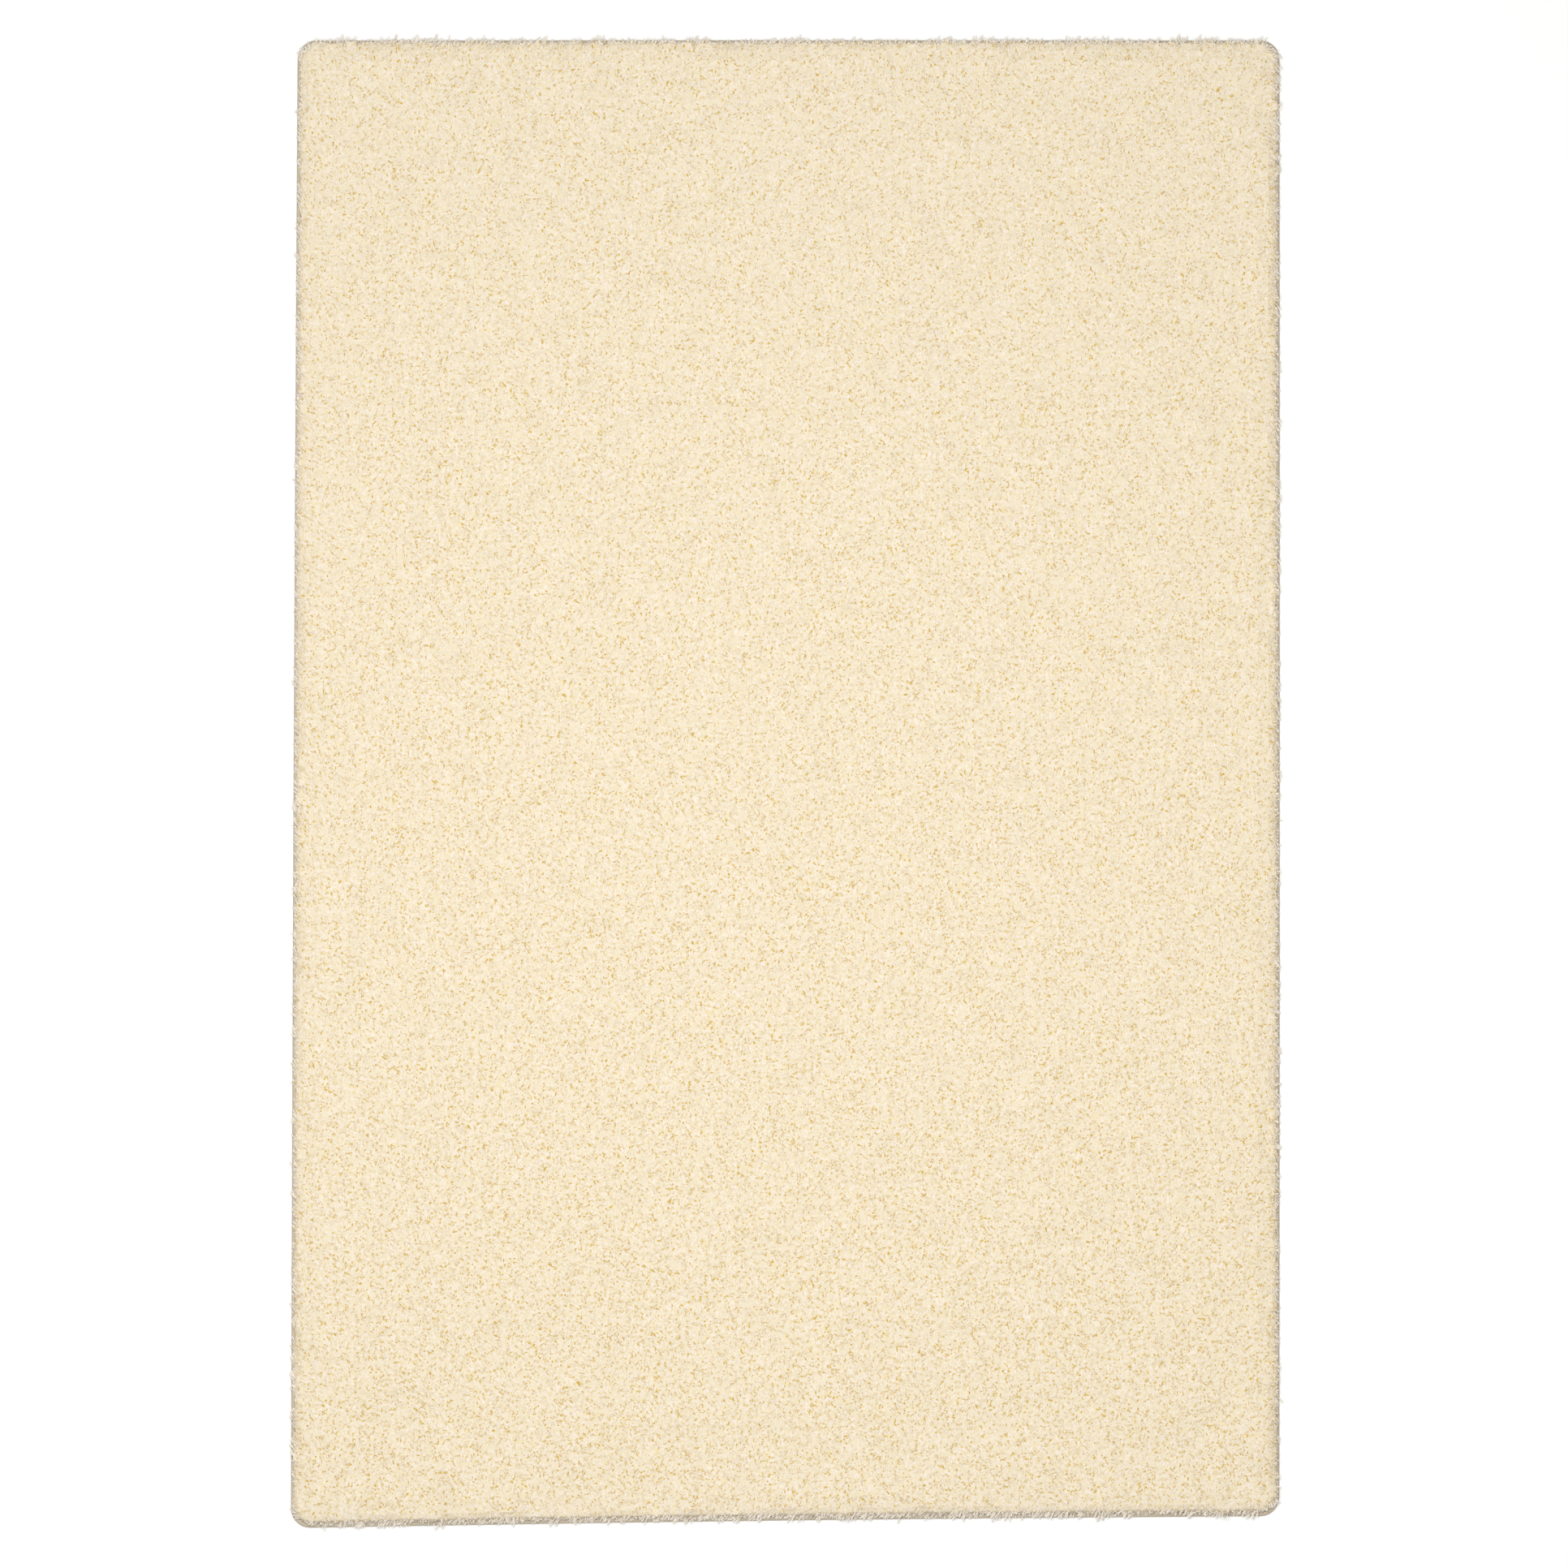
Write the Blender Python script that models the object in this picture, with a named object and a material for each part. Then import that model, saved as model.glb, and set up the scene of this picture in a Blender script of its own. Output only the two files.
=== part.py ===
"""Shag rug: a cut-pile rug of pale yarn with rounded corners, lying flat.

Three pieces, from the floor up: the flat backing cloth, the sewn binding round its edge, and the
pile, a lumpy slab of yarn whose outermost locks splay out over the binding.
Metres, +Z up. The origin is under the middle of the rug, at floor level. +Y is the far end.
"""

import math
import random
from collections import namedtuple

import bmesh
import bpy
from mathutils import Matrix, Vector, noise
from mathutils.geometry import delaunay_2d_cdt

# Outline. The corners before rounding, anticlockwise from above: the near right one is cut short.
Corner = namedtuple("Corner", "name x y")
CORNERS = (
    Corner("near_left", -0.6650, -1.0030),
    Corner("near_right", 0.6570, -0.9870),
    Corner("far_right", 0.6650, 1.0030),
    Corner("far_left", -0.6635, 1.0030),
)
CORNER_RADIUS = 0.0255

# Sides, each from the corner of its own row to the next one. Bow is outwards at mid side, short is
# how far the locks end inside the rim, and slant is their lean along the side for each metre out.
Side = namedtuple("Side", "name bow short slant")
SIDES = (
    Side("near", -0.0020, 0.0065, 0.05),
    Side("right", 0.0004, 0.0040, -0.60),
    Side("far", 0.0003, 0.0015, -0.30),
    Side("left", 0.0010, 0.0040, 0.60),
)

# Backing cloth and the bead sewn round it
BACKING_THICKNESS = 0.0030
BINDING_WIDTH = 0.0060
GAP = 0.0003
# Section of the bead, from its inner foot round the outside: inset from the rim, height
BindingPoint = namedtuple("BindingPoint", "inset height")
BINDING_SECTION = (
    BindingPoint(BINDING_WIDTH, 0.0),
    BindingPoint(0.0010, 0.0),
    BindingPoint(0.0, 0.0012),
    BindingPoint(0.0, 0.0028),
    BindingPoint(0.0011, 0.0041),
    BindingPoint(0.0030, 0.0047),
    BindingPoint(0.0049, 0.0042),
    BindingPoint(BINDING_WIDTH, 0.0029),
)
SIDE_STEPS = 12
ARC_STEPS = 7

# Pile slab
PILE_INSET = 0.0140
PILE_FOOT = BACKING_THICKNESS + GAP
PILE_FOOT_INSET = 0.0165
PILE_SHOULDER = 0.0165
PILE_SHOULDER_INSET = 0.0160
PILE_CROWN_INSET = 0.0310
PILE_TOP = 0.0212
PILE_POINT_SPACING = 0.044
PILE_POINT_STRAY = 0.011
FOOT_POINT_SPACING = 0.200
LUMP_LENGTH = 0.052
LUMP_HEIGHT = 0.0042
SWELL_LENGTH = 0.260
SWELL_HEIGHT = 0.0016
TUFT_HEIGHT_STRAY = 0.0007

# Locks of yarn at the rim of the pile
LOCK_COUNT = 262
LOCK_SHARE = 0.86
LOCK_STRAY = 0.07
LOCK_UNDERSIDE = 0.0066
LOCK_REACH_STRAY = 0.0022
LOCK_HEIGHT_STRAY = 0.0012
LOCK_WIDTH_STRAY = 0.25
LOCK_SLANT_STRAY = 0.30
LONG_LOCK_WIDTH = 0.55
# Sections of a lock from its root out: share of its reach, of its root's width, underside, topside
LockSection = namedtuple("LockSection", "out width under top")
LOCK_SECTIONS = (
    LockSection(0.60, 0.80, 0.0062, 0.0140),
    LockSection(1.00, 0.50, 0.0058, 0.0098),
)

# Locks that stand out past the rim: side, share along it, reach past the rim, slant
LongLock = namedtuple("LongLock", "side share past slant")
LONG_LOCKS = (
    LongLock("near", 0.13, 0.0030, 0.20),
    LongLock("near", 0.555, 0.0050, -0.35),
    LongLock("near", 0.965, 0.0065, 0.25),
    LongLock("right", 0.44, 0.0030, -0.50),
    LongLock("right", 0.70, 0.0035, -0.30),
    LongLock("right", 0.973, 0.0065, -0.20),
    LongLock("far", 0.055, 0.0040, -0.35),
    LongLock("far", 0.34, 0.0040, 0.20),
    LongLock("far", 0.61, 0.0035, -0.25),
    LongLock("far", 0.955, 0.0065, -0.10),
    LongLock("left", 0.28, 0.0025, 0.45),
    LongLock("left", 0.968, 0.0065, 0.40),
)

SEED = 7
FILL_INSIDE_RIM = 1
SAME_POINT = 1e-7
SHARP_EDGE_ANGLE = math.radians(50)

# Colours (sRGB) and roughness
PILE_YARN = ("cut_pile_yarn", "F2E4C8", 0.95)
BACKING_CLOTH = ("woven_backing_cloth", "C9B695", 0.90)
BINDING_YARN = ("binding_yarn", "C2B29B", 0.85)

Run = namedtuple("Run", "side core_start core_end out turn length bow")
Station = namedtuple("Station", "core out side share on_arc")


def clear_scene():
    for obj in list(bpy.data.objects):
        bpy.data.objects.remove(obj, do_unlink=True)


def linear(channel):
    """One sRGB channel, 0 to 1, as linear light."""
    return channel / 12.92 if channel <= 0.04045 else ((channel + 0.055) / 1.055) ** 2.4


def material(name, srgb, roughness):
    made = bpy.data.materials.new(name)
    made.use_nodes = True
    shader = made.node_tree.nodes["Principled BSDF"]
    channels = [linear(int(srgb[i : i + 2], 16) / 255) for i in (0, 2, 4)]
    shader.inputs["Base Color"].default_value = (*channels, 1.0)
    shader.inputs["Roughness"].default_value = roughness
    shader.inputs["Metallic"].default_value = 0.0
    return made


def add_object(name, mesh, finish):
    obj = bpy.data.objects.new(name, mesh)
    bpy.context.scene.collection.objects.link(obj)
    mesh.materials.append(material(*finish))
    mesh.shade_smooth()
    mesh.set_sharp_from_angle(angle=SHARP_EDGE_ANGLE)
    return obj


def turned(vector, angle):
    return Matrix.Rotation(angle, 2) @ vector


def outline_runs():
    """The outline as straight sides and round corners, walked anticlockwise.

    A run's core is the line, or for a corner the centre, that lies one corner radius inside it.
    """
    points = [Vector((corner.x, corner.y)) for corner in CORNERS]
    count = len(points)
    along = [(points[(i + 1) % count] - points[i]).normalized() for i in range(count)]
    outward = [Vector((a.y, -a.x)) for a in along]
    cores = []
    for i, point in enumerate(points):
        before, after = outward[i - 1], outward[i]
        cores.append(point - (before + after) * CORNER_RADIUS / (1 + before.dot(after)))
    runs = []
    for i, side in enumerate(SIDES):
        start, end = cores[i], cores[(i + 1) % count]
        turn = -outward[i].angle_signed(outward[(i + 1) % count])
        runs.append(Run(i, start, end, outward[i], 0.0, (end - start).length, side.bow))
        runs.append(Run(i, end, end, outward[i], turn, CORNER_RADIUS * abs(turn), 0.0))
    return runs


RUNS = outline_runs()
OUTLINE_LENGTH = sum(run.length for run in RUNS)


def station_on(run, share):
    """A place on one run of the outline: its core point, moved out by the side's bow, and the way out."""
    out = turned(run.out, run.turn * share)
    core = run.core_start.lerp(run.core_end, share)
    core = core + out * run.bow * math.sin(math.pi * share)
    return Station(core, out, run.side, share, run.turn != 0.0)


def station_at(distance):
    distance %= OUTLINE_LENGTH
    for run in RUNS:
        if distance <= run.length:
            return station_on(run, distance / run.length)
        distance -= run.length
    return station_on(RUNS[-1], 1.0)


def edge_stations():
    """Stations for the pieces with a smooth edge: few along the sides, more round the corners."""
    stations = []
    for run in RUNS:
        steps = ARC_STEPS if run.turn else SIDE_STEPS
        stations += [station_on(run, step / steps) for step in range(steps)]
    return stations


def at(station, inset):
    """The plan point that lies this far inside the rim."""
    return station.core + station.out * (CORNER_RADIUS - inset)


def side_value(station, column):
    """A column of SIDES at this station, blended from one side to the next round a corner."""
    here = getattr(SIDES[station.side], column)
    if not station.on_arc:
        return here
    after = getattr(SIDES[(station.side + 1) % len(SIDES)], column)
    return here + (after - here) * station.share


def lumps(point):
    """How far the pile stands above or below its mean height at a plan point."""
    fine = noise.noise(Vector((point.x / LUMP_LENGTH, point.y / LUMP_LENGTH, 0.0)))
    broad = noise.noise(Vector((point.x / SWELL_LENGTH, point.y / SWELL_LENGTH, 1.0)))
    return LUMP_HEIGHT * fine + SWELL_HEIGHT * broad


def scattered(rim, spacing, stray, clear_of_rim, rng):
    """Points in staggered rows inside a closed rim, each a little off its place."""
    row_height = spacing * math.sqrt(3) / 2
    low_y = min(point.y for point in rim)
    high_y = max(point.y for point in rim)
    low_x = min(point.x for point in rim)
    high_x = max(point.x for point in rim)
    points = []
    for row in range(1, int((high_y - low_y) / row_height) + 1):
        for step in range(1, int((high_x - low_x) / spacing) + 1):
            x = low_x + spacing * (step + 0.5 * (row % 2)) + rng.uniform(-stray, stray)
            y = low_y + row_height * row + rng.uniform(-stray, stray)
            if inside(x, y, clear_of_rim):
                points.append(Vector((x, y)))
    return points


def inside(x, y, inset):
    """Whether a plan point lies at least this far inside every side of the rug."""
    for run in RUNS:
        if not run.turn and (Vector((x, y)) - run.core_start).dot(run.out) > CORNER_RADIUS - inset:
            return False
    return True


def filled(rim, inner):
    """Triangles, as indices into rim + inner, that fill the closed rim and use every inner point."""
    outline = list(range(len(rim)))
    made = delaunay_2d_cdt(rim + inner, [], [outline], FILL_INSIDE_RIM, SAME_POINT)
    faces, sources = made[2], made[3]
    return [[sources[corner][0] for corner in face] for face in faces]


def add_points(mesh, plan_points, height_of):
    return [mesh.verts.new((point.x, point.y, height_of(point))) for point in plan_points]


def bridge(mesh, lower, upper):
    """Side faces between two closed rings that run anticlockwise, facing outwards."""
    count = len(lower)
    for i in range(count):
        after = (i + 1) % count
        mesh.faces.new((lower[i], lower[after], upper[after], upper[i]))


def fill(mesh, rim, inner, facing_up):
    """Faces over a ring of vertices and the loose vertices inside it."""
    verts = rim + inner
    for corners in filled([v.co.xy for v in rim], [v.co.xy for v in inner]):
        triangle = [verts[i] for i in corners]
        face = mesh.faces.new(triangle)
        face.normal_update()
        if (face.normal.z > 0) != facing_up:
            face.normal_flip()


def finished(mesh, name):
    data = bpy.data.meshes.new(name)
    mesh.normal_update()
    mesh.to_mesh(data)
    mesh.free()
    return data


def backing_mesh(rng):
    """A flat sheet with the rug's outline, inside the binding."""
    mesh = bmesh.new()
    rim = [at(station, BINDING_WIDTH + GAP) for station in edge_stations()]
    inner = scattered(rim, FOOT_POINT_SPACING, 0.0, FOOT_POINT_SPACING / 2, rng)
    rings = []
    for height in (0.0, BACKING_THICKNESS):
        ring = add_points(mesh, rim, lambda point, z=height: z)
        fill(mesh, ring, add_points(mesh, inner, lambda point, z=height: z), height > 0.0)
        rings.append(ring)
    bridge(mesh, *rings)
    return finished(mesh, "backing")


def binding_mesh():
    """A bead, flat underneath and round on top, swept once round the backing."""
    mesh = bmesh.new()
    stations = edge_stations()
    rings = []
    for corner in BINDING_SECTION:
        points = [at(station, corner.inset) for station in stations]
        rings.append(add_points(mesh, points, lambda point, z=corner.height: z))
    for ring, after in zip(rings, rings[1:] + rings[:1]):
        bridge(mesh, ring, after)
    return finished(mesh, "edge_binding")


def lock_spans(rng):
    """Where each lock starts and ends along the outline, none touching the next."""
    pitch = OUTLINE_LENGTH / LOCK_COUNT
    spans = []
    for index in range(LOCK_COUNT):
        start = pitch * (index + rng.uniform(0.0, LOCK_STRAY))
        end = pitch * (index + LOCK_SHARE + rng.uniform(-LOCK_STRAY, LOCK_STRAY))
        spans.append((start, end))
    return spans


def long_locks_by_index(spans):
    """The index of the lock nearest to each long lock's place, with its row of the table."""
    side_starts = {}
    walked = 0.0
    for run in RUNS:
        if not run.turn:
            side_starts[SIDES[run.side].name] = (walked, run.length)
        walked += run.length
    chosen = {}
    for row in LONG_LOCKS:
        start, length = side_starts[row.side]
        place = start + length * row.share
        index = min(range(len(spans)), key=lambda i: abs(sum(spans[i]) / 2 - place))
        chosen[index] = row
    return chosen


def add_lock(mesh, root, station, reach, slant, fullness, rng):
    """A tapering lock that grows from the wall face between four root vertices.

    The root runs anticlockwise seen from outside: near foot, far foot, far top, near top.
    """
    out = Vector((*station.out, 0.0))
    along = Vector((-out.y, out.x, 0.0))
    middle = sum((v.co for v in root), Vector()) / len(root)
    half_width = (root[1].co - root[0].co).length / 2
    before = root
    for section in LOCK_SECTIONS:
        centre = middle + (out + along * slant) * reach * section.out
        half = half_width * section.width * fullness
        top = section.top + rng.uniform(-1, 1) * LOCK_HEIGHT_STRAY
        ring = []
        for side, height in ((-1, section.under), (1, section.under), (1, top), (-1, top)):
            place = centre + along * half * side
            ring.append(mesh.verts.new((place.x, place.y, height)))
        for i in range(len(ring)):
            after = (i + 1) % len(ring)
            mesh.faces.new((before[i], before[after], ring[after], ring[i]))
        before = ring
    mesh.faces.new(before)


def pile_mesh(rng):
    """The lumpy slab of yarn, with a lock grown from every second face of its wall."""
    mesh = bmesh.new()
    spans = lock_spans(rng)
    stations = [station_at(place) for span in spans for place in span]

    def ring(inset, height_of, chosen=stations):
        return add_points(mesh, [at(station, inset) for station in chosen], height_of)

    foot = ring(PILE_FOOT_INSET, lambda point: PILE_FOOT)
    waist = ring(PILE_INSET, lambda point: LOCK_UNDERSIDE)
    shoulder = ring(PILE_SHOULDER_INSET, lambda point: PILE_SHOULDER + lumps(point))
    crown = ring(PILE_CROWN_INSET, lambda point: PILE_TOP + lumps(point), stations[::2])
    clear = PILE_CROWN_INSET + PILE_POINT_SPACING / 2
    crown_rim = [v.co.xy for v in crown]
    field_points = scattered(crown_rim, PILE_POINT_SPACING, PILE_POINT_STRAY, clear, rng)
    field = add_points(mesh, field_points, lambda point: PILE_TOP + lumps(point))
    for vert in field:
        vert.co.z += rng.uniform(-1, 1) * TUFT_HEIGHT_STRAY
    fill(mesh, shoulder, crown + field, True)

    foot_rim = [v.co.xy for v in foot]
    foot_points = scattered(foot_rim, FOOT_POINT_SPACING, 0.0, FOOT_POINT_SPACING / 2, rng)
    fill(mesh, foot, add_points(mesh, foot_points, lambda point: PILE_FOOT), False)
    bridge(mesh, foot, waist)

    long_locks = long_locks_by_index(spans)
    count = len(stations)
    for index, span in enumerate(spans):
        near, far = 2 * index, 2 * index + 1
        after = (far + 1) % count
        mesh.faces.new((waist[far], waist[after], shoulder[after], shoulder[far]))
        station = station_at(sum(span) / 2)
        row = long_locks.get(index)
        if row:
            reach = PILE_INSET + row.past
            slant = row.slant
            fullness = LONG_LOCK_WIDTH
        else:
            reach = PILE_INSET - side_value(station, "short")
            reach += rng.uniform(-1, 1) * LOCK_REACH_STRAY
            slant = side_value(station, "slant") + rng.uniform(-1, 1) * LOCK_SLANT_STRAY
            fullness = 1 - rng.uniform(0, 1) * LOCK_WIDTH_STRAY
        root = (waist[near], waist[far], shoulder[far], shoulder[near])
        add_lock(mesh, root, station, reach, slant, fullness, rng)
    return finished(mesh, "pile")


def centre_over_origin(objects):
    """Moves all pieces together so that the middle of their joint box lies over the origin."""
    corners = [v.co for obj in objects for v in obj.data.vertices]
    middle_x = (min(c.x for c in corners) + max(c.x for c in corners)) / 2
    middle_y = (min(c.y for c in corners) + max(c.y for c in corners)) / 2
    for obj in objects:
        obj.data.transform(Matrix.Translation((-middle_x, -middle_y, 0.0)))


def main():
    clear_scene()
    rng = random.Random(SEED)
    pieces = [
        add_object("backing", backing_mesh(rng), BACKING_CLOTH),
        add_object("edge_binding", binding_mesh(), BINDING_YARN),
        add_object("pile", pile_mesh(rng), PILE_YARN),
    ]
    centre_over_origin(pieces)


main()
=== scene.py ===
"""Looks of a pale cut-pile shag rug, built round its CAD frame.

The file is laid out as an add-on and run as a script. The frame's own solids give every place:
the outline comes from the sewn binding, and the pile's lumps from the pile slab.
"""

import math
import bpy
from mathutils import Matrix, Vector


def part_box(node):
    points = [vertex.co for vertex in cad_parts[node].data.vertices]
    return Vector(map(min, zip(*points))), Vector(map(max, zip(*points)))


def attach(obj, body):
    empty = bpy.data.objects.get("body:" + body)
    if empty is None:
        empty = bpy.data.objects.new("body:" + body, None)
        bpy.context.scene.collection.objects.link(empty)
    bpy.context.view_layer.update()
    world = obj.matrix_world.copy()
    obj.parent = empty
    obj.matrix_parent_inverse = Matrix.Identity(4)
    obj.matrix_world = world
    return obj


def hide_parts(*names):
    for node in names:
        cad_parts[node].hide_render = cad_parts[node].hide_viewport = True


bl_info = {
    "name": "Shag rug",
    "version": (1, 0, 0),
    "blender": (4, 5, 0),
    "location": "View3D > Sidebar > Rug",
    "description": "Builds a pale cut-pile rug: ground cloth, sewn edge, pile and stage",
    "category": "Object",
}

from collections import namedtuple
from functools import partial

import bmesh
import bpy
from bpy.props import FloatProperty, FloatVectorProperty, IntProperty, PointerProperty
from mathutils import Vector, noise
from mathutils.kdtree import KDTree

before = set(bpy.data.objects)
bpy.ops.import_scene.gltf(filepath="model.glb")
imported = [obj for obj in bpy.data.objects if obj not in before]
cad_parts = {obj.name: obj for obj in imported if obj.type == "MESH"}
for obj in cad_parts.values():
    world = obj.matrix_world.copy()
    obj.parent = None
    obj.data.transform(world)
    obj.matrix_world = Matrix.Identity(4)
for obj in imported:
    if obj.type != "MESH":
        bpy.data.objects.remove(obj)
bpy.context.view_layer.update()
BODY = "root"
MM = 0.001


def linear_channel(value):
    return value / 12.92 if value <= 0.04045 else ((value + 0.055) / 1.055) ** 2.4


def linear(srgb):
    """A colour given as sRGB hex, as the linear values that Blender's sockets take."""
    return tuple(linear_channel(int(srgb[i : i + 2], 16) / 255) for i in (0, 2, 4))


def size_prop(name, description, millimetres):
    return FloatProperty(
        name=name, description=description, default=millimetres * MM, unit="LENGTH", precision=5
    )


def colour_prop(name, description, srgb):
    settings = {"default": linear(srgb), "subtype": "COLOR", "size": 3, "min": 0, "max": 1}
    return FloatVectorProperty(name=name, description=description, **settings)


class RugSizes(bpy.types.PropertyGroup):
    """Sizes that a user would change."""

    tuft_spacing: size_prop("Tuft spacing", "Least distance between two tufts of the pile", 3.0)
    tuft_width: size_prop("Tuft width", "Width of a tuft at its cut end", 3.2)
    tuft_length: size_prop("Tuft length", "Length of the free part of a tuft", 8.0)
    bed_depth: size_prop("Bed depth", "How far the bed of the pile lies below its tips", 0.8)
    rim_yarn_width: size_prop("Rim yarn width", "Thickness of one yarn at the rim", 1.5)
    rim_yarn_pitch: size_prop("Rim yarn pitch", "Distance from one rim yarn to the next", 2.9)
    stitch_pitch: size_prop("Stitch pitch", "Distance from one stitch to the next", 1.7)
    stitch_yarn: size_prop("Stitch yarn", "Thickness of the yarn of the stitches", 1.5)
    field_pieces: IntProperty(name="Field pieces", description="Strips of tufts", default=4)


class RugColours(bpy.types.PropertyGroup):
    """Colours that a user would change."""

    tip: colour_prop("Tip", "Cut ends of the yarn", "F3E9E3")
    # Painted shade: the bed's yellower colour stands for light bounced between the yarns below
    # their ends
    bed: colour_prop("Bed", "Yarn a little below its cut ends", "EADBB4")
    # Painted shade: the root's gold stands for light bounced deep between the yarns
    root: colour_prop("Root", "Depth of the pile, seen where the yarns part", "D0A92D")
    rim: colour_prop("Rim", "Sides of the yarns, seen at the rim", "F4ECDF")
    # Painted shadow: the dark between the yarns at the rim, on the pile bed there and at the rim
    # yarns' roots
    under: colour_prop("Under", "Depth of the pile at the rim, between its yarns", "BAA991")
    binding: colour_prop("Binding", "Yarn of the sewn edge", "CABDA8")
    cloth: colour_prop("Cloth", "Backing cloth", "BFAF92")
    floor: colour_prop("Floor", "Studio floor", "FEFEFD")


def sizes():
    return bpy.context.scene.rug_sizes


def colour(name):
    """One of the user's colours with the alpha that a colour socket takes."""
    return (*getattr(bpy.context.scene.rug_colours, name), 1.0)


# ---------------------------------------------------------------- node trees


def add_node(tree, kind, inputs=None, **settings):
    """Adds a node with its settings and links.

    An input is a value, another node's socket, or another node, which gives its first output
    in use.
    """
    node = tree.nodes.new(kind)
    for name, value in settings.items():
        setattr(node, name, value)
    for key, value in (inputs or {}).items():
        named = (s for s in node.inputs if s.name == key and s.enabled)
        into = node.inputs[key] if isinstance(key, int) else next(named)
        if isinstance(value, bpy.types.Node):
            value = next(s for s in value.outputs if s.enabled)
        if isinstance(value, bpy.types.NodeSocket):
            tree.links.new(value, into)
        else:
            into.default_value = value
    return node


MATH, VECTOR_MATH, MAP_RANGE = "ShaderNodeMath", "ShaderNodeVectorMath", "ShaderNodeMapRange"
UP = (0.0, 0.0, 1.0)
HALF = (0.5, 0.5, 0.5)
WHITE = (1.0, 1.0, 1.0, 1.0)


def geometry_tree(name, chosen, asked):
    """A Geometry Nodes tree with a seed, a material and these number inputs.

    The chosen ones hold their values already, and the operator gives those that are asked for.
    """
    tree = bpy.data.node_groups.new(name, "GeometryNodeTree")
    tree.interface.new_socket("Geometry", in_out="OUTPUT", socket_type="NodeSocketGeometry")
    kinds = {"Geometry": "Geometry", **dict.fromkeys((*chosen, *asked), "Float")}
    kinds |= {"Seed": "Int", "Material": "Material"}
    for label, kind in kinds.items():
        made = tree.interface.new_socket(label, in_out="INPUT", socket_type=f"NodeSocket{kind}")
        if label in chosen:
            made.default_value = chosen[label]
    return tree, tree.nodes.new("NodeGroupInput").outputs


def own_tone(tree, seed, most=1.0):
    """A number of each tuft's, yarn's or stitch's own, from 0 to the given most."""
    return add_node(tree, "FunctionNodeRandomValue", {"Min": 0.0, "Max": most, "Seed": seed})


def wandering(tree, place, scale, amount):
    """A vector that wanders slowly with the place, by half the amount each way."""
    add = partial(add_node, tree)
    slow = add("ShaderNodeTexNoise", {"Vector": place, "Scale": scale, "Detail": 1.0})
    both_ways = add(VECTOR_MATH, {0: slow.outputs["Color"], 1: HALF}, operation="SUBTRACT")
    return add(VECTOR_MATH, {0: both_ways, "Scale": amount}, operation="SCALE")


def end_tree(tree, planted, tone, material):
    """Keeps each instance's own tone, makes them all real and gives them their material."""
    add = partial(add_node, tree)
    inputs = {"Geometry": planted, "Name": "tone", "Value": tone}
    toned = add("GeometryNodeStoreNamedAttribute", inputs, domain="INSTANCE")
    real = add("GeometryNodeRealizeInstances", {"Geometry": toned})
    painted = add("GeometryNodeSetMaterial", {"Geometry": real, "Material": material})
    add("NodeGroupOutput", {"Geometry": painted})


def yarn_shape(tree, segments, radius, root_radius, length, cut, droop, roundness, rise):
    """A three-sided yarn along Z, with its ridge to +X, which lies upwards once planted.

    Its tip attribute runs from 0 to 1, its end droops to -X, and its ridge stops short by the
    cut, so that the end slants. Its shading is turned upwards and a little to the sides, so that
    it looks soft and round.
    """
    add = partial(add_node, tree)
    inputs = {"Vertices": 3, "Side Segments": segments, "Depth": length}
    inputs |= {"Radius Top": radius, "Radius Bottom": root_radius}
    cone = add("GeometryNodeMeshCone", inputs, fill_type="NGON")
    place = add("GeometryNodeInputPosition")
    parts = add("ShaderNodeSeparateXYZ", {0: place}).outputs
    share = add(MATH, {0: parts["Z"], 1: length}, operation="DIVIDE")
    inputs = {"Geometry": cone.outputs["Mesh"], "Name": "tip", "Value": share}
    marked = add("GeometryNodeStoreNamedAttribute", inputs)
    bend = add(MATH, {0: share, 1: 2.0}, operation="POWER")
    bend = add(MATH, {0: bend, 1: droop}, operation="MULTIPLY")
    bend = add(MATH, {0: bend, 1: -1.0}, operation="MULTIPLY")
    ridge = add(MATH, {0: parts["X"], 1: radius}, operation="DIVIDE", use_clamp=True)
    back = add(MATH, {0: ridge, 1: cut}, operation="MULTIPLY")
    back = add(MATH, {0: back, 1: -1.0}, operation="MULTIPLY")
    offset = add("ShaderNodeCombineXYZ", {"X": bend, "Z": back})
    bent = add("GeometryNodeSetPosition", {"Geometry": marked, "Offset": offset})
    sideways = add(VECTOR_MATH, {0: place, 1: (1.0, 1.0, 0.0)}, operation="MULTIPLY")
    sideways = add(VECTOR_MATH, {0: sideways}, operation="NORMALIZE")
    sideways = add(VECTOR_MATH, {0: sideways, "Scale": roundness}, operation="SCALE")
    upwards = add("ShaderNodeCombineXYZ", {"X": 1.0, "Z": rise})
    normal = add(VECTOR_MATH, {0: sideways, 1: upwards}, operation="ADD")
    inputs = {"Mesh": bent, "Custom Normal": normal}
    return add("GeometryNodeSetMeshNormal", inputs, mode="FREE", domain="POINT")


# Seeds of each tuft's own stray, size and tone
TUFT_STRAY_SEED, TUFT_SIZE_SEED, TUFT_TONE_SEED = 12, 14, 15
# A tuft's least and greatest shares of the usual thickness, width and length: it is half as thick
# as it is wide
TUFT_LEAST = (0.4, 0.75, 0.8)
TUFT_MOST = (0.6, 1.25, 1.15)


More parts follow.
